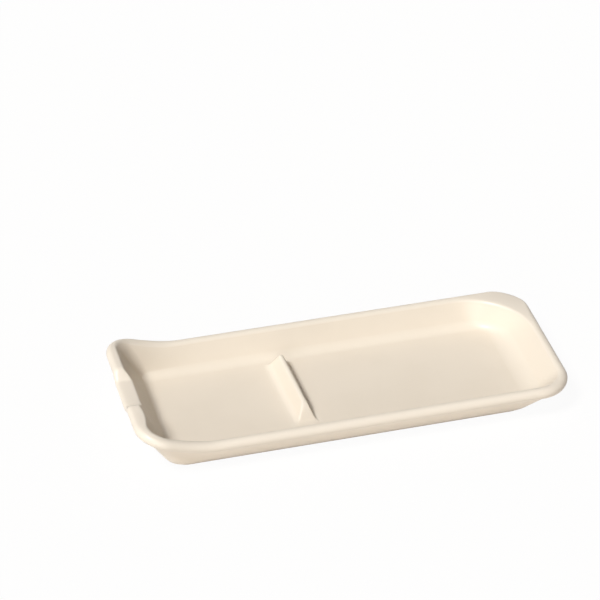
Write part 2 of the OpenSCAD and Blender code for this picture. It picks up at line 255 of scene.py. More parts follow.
class SpoonRestStudio(bpy.types.PropertyGroup):
    """Light, floor and camera"""

    camera_place: FloatVectorProperty(
        name="Camera", description="Where the camera stands",
        default=(-326.83*MM, -1138.21*MM, 879.68*MM), size=3, subtype="TRANSLATION", unit="LENGTH",
    )
    camera_turn: angle("Camera turn", "How far the camera stands to the left of the front", 15.11)
    camera_rise: angle("Camera rise", "Height of the camera above the table, as an angle", 34.70)
    lens: FloatProperty(
        name="Lens",
        description="Focal length of the lens, in millimetres",
        default=173.34,
        min=1.0,
    )
    key_turn: angle("Key turn", "How far the key light stands to the left of the front", 62.0)
    key_rise: angle("Key rise", "Height of the key light, as an angle", 55.0)
    key_spread: angle("Key spread", "Width of the key light as the tray sees it", 18.0)
    key_power: share("Key power", "Light of the key on a face square to it", 3.0, top=10.0)
    front_turn: angle(
        "Front turn", "How far the front light stands to the left of the front", 25.0
    )
    front_rise: angle("Front rise", "Height of the front light, as an angle", 18.0)
    front_spread: angle("Front spread", "Width of the front light as the tray sees it", 30.0)
    front_power: share(
        "Front power", "Light of the front light on a face square to it", 0.7, top=10.0
    )
    fill_tint: tint("Fill", "Colour of the even light from all round", 1.0, 0.70, 0.45)
    fill_power: share("Fill power", "Even light from all round", 0.06)
    floor_tint: tint("Floor", "Colour of the table", 0.92, 0.88, 0.83)
    floor_glow: share("Floor glow", "Plain white in the picture of the table", 0.95)
    floor_size: length("Floor size", "Half the width of the table", 6000.0)


def mix(a, b, s):
    """From a to b by the share s."""
    return a + (b - a)*s


def ease(s):
    """Smooth step from 0 to 1: three s squared less two s cubed, level at both ends."""
    s = np.clip(s, 0.0, 1.0)
    return s*s*(3.0 - 2.0*s)


def arc(centre, radius, start, end, steps):
    """Points on a circle from angle start to angle end: centre + radius (cos a, sin a)."""
    a = np.linspace(start, end, steps + 1)
    return np.asarray(centre) + radius*np.stack([np.cos(a), np.sin(a)], axis=1)


def straight(start, end, steps):
    """Points on the line from start to end."""
    return mix(np.asarray(start), np.asarray(end), np.linspace(0.0, 1.0, steps + 1)[:, None])


def bend(points):
    """How a section bends at each point: its turn per length times BEND_R, kept within -1 and 1.

    A left turn is positive, so on a path that runs up the outside of a wall and down its inside
    rounds come out above zero and hollows below it.
    """
    step = np.diff(points, axis=0)
    span = np.linalg.norm(step, axis=1)
    heading = np.unwrap(np.arctan2(step[:, 1], step[:, 0]))
    turn = 2.0*np.diff(heading)/(span[1:] + span[:-1])
    return np.clip(np.pad(turn, 1, mode="edge")*BEND_R, -1.0, 1.0)


def tray_lines(tray):
    """The rim's line along the middle of the bead and the foot's line along the foot's edge."""
    bead_r = tray.bead_d/2
    half_l, half_w = tray.tray_l/2, tray.tray_w/2
    line = SimpleNamespace(
        bead_r=bead_r,
        bead_h=tray.side_h - bead_r,
        rim_handle_x=bead_r - half_l,
        rim_bowl_x=half_l - bead_r,
        rim_side_y=half_w - bead_r,
        foot_handle_x=tray.foot_in_handle - half_l,
        foot_bowl_x=half_l - tray.foot_in_bowl,
        foot_side_y=half_w - tray.foot_in_side,
        crest_x=tray.rib_x - half_l,
        climb_x=tray.raise_l - half_l,
    )
    line.side_reach = line.rim_side_y - line.foot_side_y
    line.handle_reach = line.foot_handle_x - line.rim_handle_x
    line.bowl_reach = line.rim_bowl_x - line.foot_bowl_x
    return line


def wall_axes(lean):
    """Directions up along a wall that leans out by lean, and square out of it."""
    up = np.array([math.sin(lean), math.cos(lean)])
    out = np.array([math.cos(lean), -math.sin(lean)])
    return up, out


def bare_top(tray, lean, depth):
    """Where the bare part of the wall ends: bare_h up along it, and depth in from its face."""
    up, out = wall_axes(lean)
    return tray.bare_h*up - depth*out


def section_start(tray, lean, depth, start):
    """First points of a wall's section, up to its even outer face.

    "recess" runs from the recess under the foot over the flat ring and round the foot's edge, an
    arc, to the end of the bare wall. "glaze edge" is the glaze's own edge, a quarter of a circle
    that starts on the clay. "bare end" is the end of the bare wall alone.
    """
    if start == "recess":
        foot_r = tray.foot_edge_r
        foot_x = -(depth + foot_r*(1.0 - math.sin(lean)))/math.cos(lean)
        ring_x = foot_x - tray.foot_ring_w
        recess_edge = [ring_x - tray.recess_depth, tray.recess_depth]
        recess = straight(recess_edge, [ring_x, 0.0], RECESS_STEPS)
        rounding = arc([foot_x, foot_r], foot_r, -QUARTER, -lean, FOOT_STEPS)
        return np.concatenate([recess, rounding, [bare_top(tray, lean, depth)]])
    if start == "glaze edge":
        up, out = wall_axes(lean)
        turn = np.linspace(0.0, QUARTER, EDGE_STEPS + 1)[:, None]
        climb = tray.bare_h + tray.glaze_t*(1.0 - np.cos(turn))
        return climb*up - tray.glaze_t*(1.0 - np.sin(turn))*out
    return bare_top(tray, lean, depth)[None]


def wall_section(tray, reach, rise, edge_r, hollow_r, depth, start):
    """Section of a wall, as points [outward from the foot's edge, height] in columns x and z.

    The wall leans out so that its inner face is tangent to a bead whose middle is out by reach and
    up by rise. After its start the section runs up the outer face, round the hollow under the
    bead, over the bead and its inner edge of radius edge_r, down the inner face and round the
    hollow to the floor, in straight lines and arcs. depth is how far it lies under the face of the
    glaze. part is the stretch that each point is on. wide and inner run from 0 to 1 over the crest
    of the bead, and inner back to 0 at the floor. outside and inside are shares of the height, up
    the outer face and up the inner one.
    """
    bead_r = tray.bead_d/2
    lean = math.atan2(reach, rise) + math.asin((tray.wall_t - bead_r)/math.hypot(reach, rise))
    up, out = wall_axes(lean)
    bead = np.array([reach, rise])
    edge = bead + (bead_r - edge_r)*np.array([-1.0, 1.0])
    lip_gap = tray.lip_r + tray.wall_t - bead_r
    lip = (bead@up - math.sqrt((bead_r + tray.lip_r)**2 - lip_gap**2))*up + tray.lip_r*out
    to_bead = math.atan2(rise - lip[1], reach - lip[0])
    hollow_out = edge@out - edge_r - hollow_r
    hollow_up = (tray.floor_t + hollow_r + hollow_out*math.sin(lean))/math.cos(lean)
    hollow = hollow_up*up + hollow_out*out
    first = section_start(tray, lean, depth, start)
    lip_arc = arc(lip, tray.lip_r + depth, math.pi - lean, to_bead, LIP_STEPS)
    bead_low = arc(bead, bead_r - depth, to_bead - math.pi, 0.0, BEAD_LOW_STEPS)[1:]
    bead_out = arc(bead, bead_r - depth, 0.0, QUARTER, BEAD_OUT_STEPS)[1:]
    bead_in = arc(edge, edge_r - depth, QUARTER, math.pi - lean, BEAD_IN_STEPS)[1:]
    hollow_arc = arc(hollow, hollow_r + depth, -lean, -QUARTER, HOLLOW_STEPS)
    wall = straight(first[-1], lip_arc[0], WALL_STEPS)[1:-1]
    inner = straight(bead_in[-1], hollow_arc[0], INNER_STEPS)[1:-1]
    points = np.concatenate([first, wall, lip_arc, bead_low, bead_out, bead_in, inner, hollow_arc])
    outer_n, after = len(first) + len(wall), len(inner) + len(hollow_arc)
    low_n = outer_n + len(lip_arc) + len(bead_low)
    part = np.repeat(
        [OUTER_FACE, OUTER_BEAD, INNER_BEAD, INSIDE],
        [outer_n, low_n - outer_n + BEAD_OUT_STEPS - 1, BEAD_IN_STEPS + 1, after],
    )
    along = np.concatenate([
        np.linspace(0.0, QUARTER, BEAD_OUT_STEPS + 1)[1:],
        np.linspace(QUARTER, math.pi - lean, BEAD_IN_STEPS + 1)[1:],
    ])

    def set_in(angles):
        """0 as far as the first angle round the bead, 1 from the second on, smooth between."""
        s = ease((along - angles[0])/(angles[1] - angles[0]))
        return np.concatenate([np.zeros(low_n), s, np.ones(after)])[:, None]

    z = points[:, 1:]
    bare_z, lip_z = bare_top(tray, lean, depth)[1], lip_arc[0, 1]
    inside = (z - hollow_arc[-1, 1])/(bead_in[-1, 1] - hollow_arc[-1, 1])
    return SimpleNamespace(
        x=points[:, :1],
        z=z,
        part=part[:, None],
        wide=set_in(WIDE_ANGLES),
        inner=set_in(INNER_ANGLES)*np.minimum(inside, 1.0),
        outside=np.clip((z - bare_z)/(lip_z - bare_z), 0.0, 1.0),
        inside=inside,
        lip=lip_arc[0],
        bead_end=bead_in[-1],
        floor_end=hollow_arc[-1],
        top=bead_out[-1, 1],
        bend=bend(points),
    )


def tray_sections(tray, line, depth, start):
    """Sections of the side walls, the handle end and the bowl end."""
    bead_r, bead_h, handle_h = line.bead_r, line.bead_h, line.bead_h + tray.raise_h
    return (
        wall_section(tray, line.side_reach, bead_h, bead_r, tray.hollow_r_side, depth, start),
        wall_section(
            tray, line.handle_reach, handle_h, tray.bead_edge_r, tray.hollow_r_handle, depth, start
        ),
        wall_section(tray, line.bowl_reach, bead_h, bead_r, tray.hollow_r_bowl, depth, start),
    )


def corner_radius(section, reach, foot_r, rim_r, rim_in_r, floor_r):
    """Corner radius of the ring at each point of a section.

    Up the outer face it goes evenly from the foot's to the lip's, round the bead it grows with the
    way outward, from the outer half's radius to the inner half's, and inside it goes evenly from
    the bead's inner edge to the floor's.
    """
    lip_r = rim_r + section.lip[0] - reach
    inner_r = rim_in_r + section.bead_end[0] - reach
    down = (section.bead_end[0] - section.x)/(section.bead_end[0] - section.floor_end[0])
    return np.select(
        [section.part == OUTER_FACE, section.part == INSIDE],
        [mix(foot_r, lip_r, section.x/section.lip[0]), mix(inner_r, floor_r, down)],
        mix(rim_r, rim_in_r, section.wide) + section.x - reach,
    )


def notch_follow(section):
    """Share of the notch's depth that each point follows: all from the crest of the bead to its
    inner edge, less and less below that, inside and out, and none at the foot."""
    under = NOTCH_UNDER_SHARE*section.outside
    over = mix(NOTCH_UNDER_SHARE, 1.0, (section.z - section.lip[1])/(section.top - section.lip[1]))
    return np.select(
        [section.part == OUTER_FACE, section.part == OUTER_BEAD, section.part == INSIDE],
        [under, over, section.inside],
        1.0,
    )


def droop_follow(section):
    """Share of the wide corner's droop: all along the outside of the bead, none inside its crest,
    and less and less down to the foot."""
    return np.where(section.part == OUTER_FACE, section.outside, 1.0 - section.wide)


def rib_section(tray, depth):
    """Section of the rib as points [from the crest towards the bowl end, height above the floor]:
    a hollow, a long face, the round crest, a steep face and a hollow."""

    def foot_x(slope, hollow_r):
        """Way from the crest to the middle of a hollow, for a face that touches both rounds."""
        sunk = hollow_r - tray.rib_h + tray.crest_r
        return (tray.crest_r + hollow_r - math.cos(slope)*sunk)/math.sin(slope)

    long_face, steep_face = tray.rib_slope_handle, tray.rib_slope_bowl
    wide_r, tight_r = tray.rib_hollow_r_wide, tray.rib_hollow_r
    first = arc(
        [-foot_x(long_face, wide_r), wide_r],
        wide_r + depth,
        -QUARTER,
        long_face - QUARTER,
        RIB_FOOT_STEPS,
    )
    crest = arc(
        [0.0, tray.rib_h - tray.crest_r],
        tray.crest_r - depth,
        QUARTER + long_face,
        QUARTER - steep_face,
        CREST_STEPS,
    )
    last = arc(
        [foot_x(steep_face, tight_r), tight_r],
        tight_r + depth,
        -QUARTER - steep_face,
        -QUARTER,
        RIB_FOOT_STEPS,
    )
    up_face = straight(first[-1], crest[0], RIB_FACE_STEPS)[1:-1]
    down_face = straight(crest[-1], last[0], RIB_FACE_STEPS)[1:-1]
    return np.concatenate([first, up_face, crest, down_face, last])


def floor_lines(tray, line):
    """Ends and half width of the flat floor, and the places of the rib's front and back tip."""
    side, handle, bowl = tray_sections(tray, line, 0.0, "bare end")
    half_y = line.foot_side_y + side.floor_end[0]
    return SimpleNamespace(
        half_y=half_y,
        from_x=line.foot_handle_x - handle.floor_end[0] + tray.floor_r_handle,
        to_x=line.foot_bowl_x + bowl.floor_end[0] - tray.floor_r_bowl,
        rib_front=tray.rib_gap_front - half_y,
        rib_back=half_y - tray.rib_gap_back,
    )


def rib_end_height(way, slope, r):
    """Height of an end of the rib at a way in from its tip: a round hollow, then an even slope.

    The hollow is r - sqrt(r r - way way) as far as r sin(slope), and the slope goes on from there
    as tan(slope) (way - r tan(slope/2)).
    """
    way = np.maximum(way, 0.0)
    hollow = r - np.sqrt(np.maximum(r*r - way*way, 0.0))
    return np.where(way < r*math.sin(slope), hollow, math.tan(slope)*(way - r*math.tan(slope/2)))


def rib_end_length(tray, slope, r):
    """The way in from a tip at which that end is as high as the rib."""
    return r*math.tan(slope/2) + tray.rib_h/math.tan(slope)


def lesser(a, b):
    """The lesser of two heights, rounded where they meet: a^-n + b^-n to the power of -1/n."""
    a, b = np.maximum(a, NO_HEIGHT), np.maximum(b, NO_HEIGHT)
    return (a**-HIP_POWER + b**-HIP_POWER)**(-1.0/HIP_POWER)


def side_columns(tray, line, floor):
    """Places along the floor's straight sides: crowded towards the handle end, then the rib's own
    section, then evenly on to the bowl end."""
    rib = line.crest_x + rib_section(tray, 0.0)[:, 0]
    before = np.linspace(0.0, 1.0, HANDLE_SIDE_STEPS + 1)[:-1]**HANDLE_CROWD
    after = np.linspace(0.0, 1.0, BOWL_SIDE_STEPS + 1)[1:]
    return np.concatenate([
        mix(floor.from_x, rib[0], before),
        rib,
        mix(rib[-1], floor.to_x, after),
    ])


def cross_rows(tray, floor):
    """Rows across the floor from -1 to 1: close together over the rib's ends, even between."""
    way = np.linspace(0.0, RIB_END_ROWS_SHARE, RIB_END_STEPS + 1)
    front_l = rib_end_length(tray, tray.rib_slope_front, tray.rib_hollow_r_wide)
    back_l = rib_end_length(tray, tray.rib_slope_back, tray.rib_hollow_r)
    front = floor.rib_front + way*front_l
    back = floor.rib_back - way[::-1]*back_l
    gap = np.linspace(-floor.half_y, front[0], GAP_STEPS + 1)[:-1]
    level = np.linspace(front[-1], back[0], FLOOR_STEPS + 1)[1:-1]
    return np.concatenate([gap, front, level, back, [floor.half_y]])/floor.half_y


def ring_layout(tray, line):
    """Shares along the straight stretches of every ring, and where its stretches start."""
    floor = floor_lines(tray, line)
    columns = side_columns(tray, line, floor)
    rows = cross_rows(tray, floor)
    side_n, end_n = len(columns) - 1, len(rows) - 1
    bowl_at = side_n + CORNER_STEPS
    back_at = bowl_at + end_n + CORNER_STEPS
    handle_at = back_at + side_n + CORNER_STEPS
    return SimpleNamespace(
        floor=floor,
        along=(columns - floor.from_x)/(floor.to_x - floor.from_x),
        across=(rows + 1.0)/2,
        rows=rows,
        end_n=end_n,
        bowl_at=bowl_at,
        handle_at=handle_at,
        count=handle_at + end_n + CORNER_STEPS,
    )


def ring_plan(layout, handle_x, bowl_x, side_y, radii):
    """Rounded rectangles seen from above, one for each row of the sizes, which are columns.

    radii are those at the front and back of the handle end and of the bowl end. Each rectangle
    runs anticlockwise from the front wall's handle end. A corner is its centre plus the radius
    times the cosine and the sine of the angle, and a straight stretch follows the layout's shares.
    """
    a = np.linspace(0.0, QUARTER, CORNER_STEPS + 1)[1:-1]
    r_handle_front, r_handle_back, r_bowl_front, r_bowl_back = radii
    front_from, front_to = handle_x + r_handle_front, bowl_x - r_bowl_front
    back_from, back_to = handle_x + r_handle_back, bowl_x - r_bowl_back
    handle_front, handle_back = r_handle_front - side_y, side_y - r_handle_back
    bowl_front, bowl_back = r_bowl_front - side_y, side_y - r_bowl_back
    flat = np.zeros_like(layout.along)
    end = np.zeros_like(layout.across)
    xs = [
        mix(front_from, front_to, layout.along),
        front_to + r_bowl_front*np.sin(a),
        bowl_x + end,
        back_to + r_bowl_back*np.cos(a),
        mix(back_from, back_to, layout.along[::-1]),
        back_from - r_handle_back*np.sin(a),
        handle_x + end,
        front_from - r_handle_front*np.cos(a),
    ]
    ys = [
        flat - side_y,
        bowl_front - r_bowl_front*np.cos(a),
        mix(bowl_front, bowl_back, layout.across),
        bowl_back + r_bowl_back*np.sin(a),
        flat + side_y,
        handle_back + r_handle_back*np.cos(a),
        mix(handle_front, handle_back, layout.across[::-1]),
        handle_front - r_handle_front*np.sin(a),
    ]
    return np.concatenate(xs, axis=1), np.concatenate(ys, axis=1)


def wall_surface(tray, line, layout, depth, start):
    """Points of the walls, as an array [place in the section, place in the ring, xyz], and bends.

    The plan of each ring comes from the sections of the side, handle end and bowl end walls. Its
    height is the side wall's, taken towards the handle end's by the climb of the rim and towards
    the bowl end's by the turn of its corners, less the notch and the droop of the wide corner. The
    climb at a share s of its length is s s (3 - CLIMB_LEVEL s)/(3 - CLIMB_LEVEL), and the droop
    follows the squared sine round the corner. The rim's inner edge lies further in at the notch,
    where the leaning wall is cut, and in front of it, where the rim swells.
    """
    side, handle, bowl = tray_sections(tray, line, depth, start)
    radii = [
        corner_radius(
            handle, line.handle_reach, tray.foot_r_handle, tray.rim_r_handle, inner_r,
            tray.floor_r_handle,
        )
        for inner_r in (tray.rim_r_handle, tray.rim_in_r_handle)
    ] + [
        corner_radius(
            bowl, line.bowl_reach, tray.foot_r_bowl, tray.rim_r_bowl, inner_r, tray.floor_r_bowl,
        )
        for inner_r in (tray.rim_r_bowl, tray.rim_in_r_bowl)
    ]
    x, y = ring_plan(
        layout,
        line.foot_handle_x - handle.x,
        line.foot_bowl_x + bowl.x,
        line.foot_side_y + side.x,
        radii,
    )
    rim_radii = (tray.rim_r_handle, tray.rim_r_handle, tray.rim_r_bowl, tray.rim_r_bowl)
    rim_x, rim_y = ring_plan(
        layout,
        *[np.full((1, 1), size) for size in (line.rim_handle_x, line.rim_bowl_x, line.rim_side_y)],
        [np.full((1, 1), size) for size in rim_radii],
    )
    s = np.clip((line.climb_x - rim_x)/(tray.raise_l - line.bead_r), 0.0, 1.0)
    climb = s*s*(3.0 - CLIMB_LEVEL*s)/(3.0 - CLIMB_LEVEL)
    shoulder = 1.0 - ease((np.abs(y) - tray.notch_w/2)/tray.shoulder_w)
    notch = np.where(rim_x < 0.0, shoulder, 0.0)
    swell = np.where(rim_x < 0.0, 1.0 - ease(np.abs(rim_y + tray.swell_y)/tray.swell_l), 0.0)
    x = x + handle.inner*(tray.rim_swell*swell + tray.notch_in*notch)
    bowl_turn = ease((rim_x - line.rim_bowl_x + tray.rim_r_bowl)/tray.rim_r_bowl)
    place = np.arange(layout.count) - layout.bowl_at - layout.end_n
    droop = tray.corner_drop*np.sin(math.pi*np.clip(place/CORNER_STEPS, 0.0, 1.0))**2
    z = (
        side.z + climb*(handle.z - side.z) + bowl_turn*(bowl.z - side.z)
        - notch_follow(handle)*tray.notch_depth*notch - droop_follow(bowl)*droop
    )
    return np.stack([x, y, z], axis=2), np.broadcast_to(side.bend[:, None], z.shape)


def floor_rim(layout):
    """Places in a ring along a floor's front and back edge, from handle end to bowl end."""
    front = np.arange(layout.handle_at + layout.end_n, layout.count + layout.bowl_at + 1)
    back = np.arange(layout.handle_at, layout.bowl_at + layout.end_n - 1, -1)
    return front % layout.count, back


def flat_surface(layout, ring):
    """Level grid inside a ring, as an array [row across, column along, xyz].

    Each column keeps the ring's own x and runs straight across from its front to its back edge.
    """
    front, _ = floor_rim(layout)
    x = np.broadcast_to(ring[front, 0], (layout.end_n + 1, len(front)))
    y = -layout.rows[:, None]*ring[front, 1]
    return np.stack([x, y, np.full(x.shape, ring[0, 2])], axis=2)


def rib_surface(tray, line, layout, ring, depth):
    """The floor's grid with the rib on it, and how it bends.

    The rib's section is carried across the floor at its turn. Its height is the least of the
    section's own and those of the rib's two ends.
    """
    grid = flat_surface(layout, ring)
    floor = layout.floor
    section = rib_section(tray, depth)
    first = CORNER_STEPS + HANDLE_SIDE_STEPS
    middle = slice(first, first + len(section))
    y = grid[:, CORNER_STEPS, 1:2]
    wide_r, tight_r = tray.rib_hollow_r_wide + depth, tray.rib_hollow_r + depth
    front = rib_end_height(y - floor.rib_front, tray.rib_slope_front, wide_r)
    back = rib_end_height(floor.rib_back - y, tray.rib_slope_back, tight_r)
    whole = section[:, 1] + depth
    height = lesser(whole, lesser(front, back))
    grid[:, middle, 0] = line.crest_x + section[:, 0] - y*math.tan(tray.rib_turn)
    grid[:, middle, 2] += height
    relief = np.zeros(grid.shape[:2])
    relief[:, middle] = -bend(section)*height/np.maximum(whole, NO_HEIGHT)
    return grid, relief


def wall_faces(rings, count):
    """Four-cornered faces between rings of count points each."""
    ring_at = np.arange(rings - 1)[:, None]*count
    at = ring_at + np.arange(count)
    across = ring_at + (np.arange(count) + 1) % count
    return np.stack([at, across, across + count, at + count], axis=2).reshape(-1, 4)


def grid_faces(numbers):
    """Four-cornered faces of a grid of point numbers, looking up."""
    corners = [numbers[:-1, :-1], numbers[:-1, 1:], numbers[1:, 1:], numbers[1:, :-1]]
    return np.stack(corners, axis=2).reshape(-1, 4)


def floor_numbers(layout, ring_at, inside_at):
    """Point numbers of a floor's grid: those of its ring along the edges, new ones inside."""
    front, back = floor_rim(layout)
    rows, columns = layout.end_n + 1, len(front)
    numbers = np.zeros((rows, columns), dtype=np.int64)
    inside = np.arange((rows - 2)*(columns - 2)).reshape(rows - 2, columns - 2)
    numbers[1:-1, 1:-1] = inside_at + inside
    numbers[0] = ring_at + front
    numbers[-1] = ring_at + back
    numbers[:, 0] = ring_at + np.arange(layout.handle_at + layout.end_n, layout.handle_at - 1, -1)
    numbers[:, -1] = ring_at + np.arange(layout.bowl_at, layout.bowl_at + layout.end_n + 1)
    return numbers


def tray_shell(tray, line, layout, depth, start):
    """Points, faces and bends of walls, floor and rib at one depth, looking outwards."""
    walls, wall_bend = wall_surface(tray, line, layout, depth, start)
    floor, floor_bend = rib_surface(tray, line, layout, walls[-1], depth)
    rings = len(walls)
    points = np.concatenate([walls.reshape(-1, 3), floor[1:-1, 1:-1].reshape(-1, 3)])
    numbers = floor_numbers(layout, (rings - 1)*layout.count, rings*layout.count)
    faces = np.concatenate([wall_faces(rings, layout.count), grid_faces(numbers)])
    bends = np.concatenate([wall_bend.ravel(), floor_bend[1:-1, 1:-1].ravel()])
    return points, faces, bends


def body_mesh(tray):
    """The clay: its shell under the glaze, closed below by the level face of the recess."""
    line = tray_lines(tray)
    layout = ring_layout(tray, line)
    points, faces, bends = tray_shell(tray, line, layout, tray.glaze_t, "recess")
    under = flat_surface(layout, points[:layout.count])[1:-1, 1:-1].reshape(-1, 3)
    numbers = floor_numbers(layout, 0, len(points))
    faces = np.concatenate([faces, grid_faces(numbers)[:, ::-1]])
    return np.concatenate([points, under]), faces, np.concatenate([bends, np.zeros(len(under))])


def glaze_mesh(tray):
    """The glaze: its face, and its back on the clay turned round, joined along the rounded edge.

    The face's first ring lies on the back's first ring, so the two share the back's points there.
    """
    line = tray_lines(tray)
    layout = ring_layout(tray, line)
    face, face_sides, face_bends = tray_shell(tray, line, layout, 0.0, "glaze edge")
    back, back_sides, back_bends = tray_shell(tray, line, layout, tray.glaze_t, "bare end")
    moved = np.arange(len(back)) + len(face) - layout.count
    moved[:layout.count] = np.arange(layout.count)
    points = np.concatenate([back[:layout.count], face[layout.count:], back[layout.count:]])
    faces = np.concatenate([face_sides, moved[back_sides][:, ::-1]])
    bends = np.concatenate([face_bends, back_bends[layout.count:]])
    return points, faces, bends


def put_piece(name, points, faces, bends, material, slot):
    """Puts arrays of points and faces into a smooth mesh that rides on the tray's body."""
    mesh = bpy.data.meshes.new(name)
    mesh.from_pydata(points.tolist(), [], faces.tolist())
    mesh.shade_smooth()
    mesh.set_sharp_from_angle(angle=CRISP_ANGLE)
    relief = mesh.attributes.new("relief", "FLOAT", "POINT")
    relief.data.foreach_set("value", bends.astype(np.float32))
    if mesh.validate():
        raise RuntimeError(f"{name} has faces that are not valid")
    mesh.materials.append(material)
    piece = bpy.data.objects.new(name, mesh)
    bpy.context.scene.collection.objects.link(piece)
    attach(piece, "root")
    return piece


class NodeSheet:
    """The node tree of a material or a world, with short calls to add and link its nodes."""

    def __init__(self, owner):
        """Takes the owner's tree and empties it."""
        owner.use_nodes = True
        self.tree = owner.node_tree
        self.tree.nodes.clear()

    def add(self, kind, sockets=None, **settings):
        """Adds a node, with the settings as attributes and the sockets by name or number."""
        node = self.tree.nodes.new(kind)
        for name, value in settings.items():
            setattr(node, name, value)
        for name, value in (sockets or {}).items():
            if isinstance(value, bpy.types.NodeSocket):
                self.tree.links.new(value, node.inputs[name])
            else:
                node.inputs[name].default_value = value
        return node

    def noise(self, place, scale, detail, roughness):
        """Noise over the object's own place, with scale features per metre."""
        sockets = {"Vector": place, "Scale": scale, "Detail": detail, "Roughness": roughness}
        return self.add("ShaderNodeTexNoise", sockets).outputs["Fac"]

    def spread(self, value, low, high, to_low, to_high):
        """Maps low..high smoothly to to_low..to_high and keeps the result within them."""
        sockets = {
            "Value": value, "From Min": low, "From Max": high, "To Min": to_low, "To Max": to_high
        }
        node = self.add("ShaderNodeMapRange", sockets, interpolation_type="SMOOTHSTEP")
        return node.outputs["Result"]

    def blend(self, factor, first, second):
        """From the first colour to the second by the factor."""
        sockets = {"Factor": factor, MIX_FIRST: first, MIX_SECOND: second}
        return self.add("ShaderNodeMix", sockets, data_type="RGBA").outputs[MIX_RESULT]

    def bump(self, height, distance, strength):
        """Raises the surface by height times distance, at a strength from 0 to 1."""
        sockets = {"Height": height, "Distance": distance, "Strength": strength}
        return self.add("ShaderNodeBump", sockets).outputs["Normal"]

    def finish(self, shader):
        """Links a shader to the material's output."""
        self.add("ShaderNodeOutputMaterial", {"Surface": shader})


def opaque(colour):
    """A colour with full alpha."""
    return (*colour, 1.0)


def ivory_glaze(finish):
    """Ivory glaze: faint clouds, a paler colour over rounds that is a painted sheen on the beads,
    and pale where it pools.
    """
    material = bpy.data.materials.new("ivory_glaze")
    sheet = NodeSheet(material)
    place = sheet.add("ShaderNodeTexCoord").outputs["Object"]
    relief = sheet.add("ShaderNodeAttribute", attribute_name="relief").outputs["Fac"]
    clouds = sheet.spread(sheet.noise(place, *CLOUDS), *CLOUD_SHARE)
    pooled = sheet.spread(relief, *POOL_SHARE)
    # Mask over the rounds, where the paler colour is a painted sheen on the beads
    thin = sheet.spread(relief, *PAINTED_SHEEN_SHARE)
    colour = sheet.blend(clouds, opaque(finish.ivory), opaque(finish.cloud_ivory))
    colour = sheet.blend(pooled, colour, opaque(finish.pooled_ivory))
    colour = sheet.blend(thin, colour, opaque(finish.painted_sheen_ivory))
    grain = sheet.noise(place, *GRAIN)
    rough = finish.gloss_roughness
    shader = sheet.add(
        "ShaderNodeBsdfPrincipled",
        {
            "Base Color": colour,
            "Roughness": sheet.spread(
                grain, *ROUGH_RANGE, rough - GRAIN_SMOOTHER, rough + GRAIN_ROUGHER
            ),
            "IOR": GLAZE_IOR,
            "Specular IOR Level": GLAZE_SPECULAR,
            "Coat Weight": COAT_WEIGHT,
            "Coat Roughness": COAT_ROUGHNESS,
            "Normal": sheet.bump(sheet.noise(place, *WAVES), WAVE_DEPTH, WAVE_STRENGTH),
        },
    )
    sheet.finish(shader.outputs["BSDF"])
    return material


def bare_stoneware(finish):
    """Bare fired clay: buff, sandy and matt, with darker grog spots."""
    material = bpy.data.materials.new("bare_stoneware")
    sheet = NodeSheet(material)
    place = sheet.add("ShaderNodeTexCoord").outputs["Object"]
    sand = sheet.noise(place, *SAND)
    patches = sheet.spread(sheet.noise(place, *PATCHES), *PATCH_SHARE)
    spots = sheet.add("ShaderNodeTexVoronoi", {"Vector": place, "Scale": GROG_SCALE})
    grog = sheet.spread(spots.outputs["Distance"], *GROG_SHARE)
    colour = sheet.blend(patches, opaque(finish.buff), opaque(finish.dark_buff))
    colour = sheet.blend(grog, colour, opaque(finish.dark_buff))
    shader = sheet.add(
        "ShaderNodeBsdfPrincipled",
        {
            "Base Color": colour,
            "Roughness": sheet.spread(sand, *ROUGH_RANGE, *SAND_ROUGHNESS),
            "Normal": sheet.bump(sand, SAND_DEPTH, SAND_STRENGTH),
        },
    )
    sheet.finish(shader.outputs["BSDF"])
    return material


def seen_rays(sheet):
    """1 where the camera, a gloss or a glass sees a surface, 0 where it lights another."""
    path = sheet.add("ShaderNodeLightPath").outputs
    seen = path["Is Camera Ray"]
    for ray in ("Is Glossy Ray", "Is Transmission Ray"):
        either = sheet.add("ShaderNodeMath", {0: seen, 1: path[ray]}, operation="MAXIMUM")
        seen = either.outputs["Value"]
    return seen


def table_white(studio):
    """White table: matt for the light that it throws back, and lifted to plain white where the
    camera or a gloss sees it, so that only the tray's shadow shows on it."""
    material = bpy.data.materials.new("table_white")
    sheet = NodeSheet(material)
    matt = sheet.add("ShaderNodeBsdfDiffuse", {"Color": opaque(studio.floor_tint)})
    glow = sheet.add("ShaderNodeEmission", {"Color": WHITE, "Strength": 1.0})
    amount = sheet.add(
        "ShaderNodeMath", {0: seen_rays(sheet), 1: studio.floor_glow}, operation="MULTIPLY"
    )
    both = sheet.add(
        "ShaderNodeMixShader",
        {"Fac": amount.outputs["Value"], 1: matt.outputs["BSDF"], 2: glow.outputs["Emission"]},
    )
    sheet.finish(both.outputs["Shader"])
    return material


class SPOONREST_OT_stoneware_body(bpy.types.Operator):
    """Make the fired clay with its bare foot"""

    bl_idname = "spoon_rest.stoneware_body"
    bl_label = "Stoneware Body"

    def execute(self, context):
        scene = context.scene
        material = bare_stoneware(scene.spoon_rest_finish)
        mesh = body_mesh(scene.spoon_rest_tray)
        piece = put_piece("clay_body", *mesh, material, "stoneware")
        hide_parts("stoneware_body")
        return {"FINISHED"}


class SPOONREST_OT_glaze_coat(bpy.types.Operator):
    """Make the glaze over all of the clay but its foot"""

    bl_idname = "spoon_rest.glaze_coat"
    bl_label = "Glaze Coat"

    def execute(self, context):
        scene = context.scene
        material = ivory_glaze(scene.spoon_rest_finish)
        mesh = glaze_mesh(scene.spoon_rest_tray)
        piece = put_piece("glaze_skin", *mesh, material, "ivory_glaze")
        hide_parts("glaze_coat")
        return {"FINISHED"}


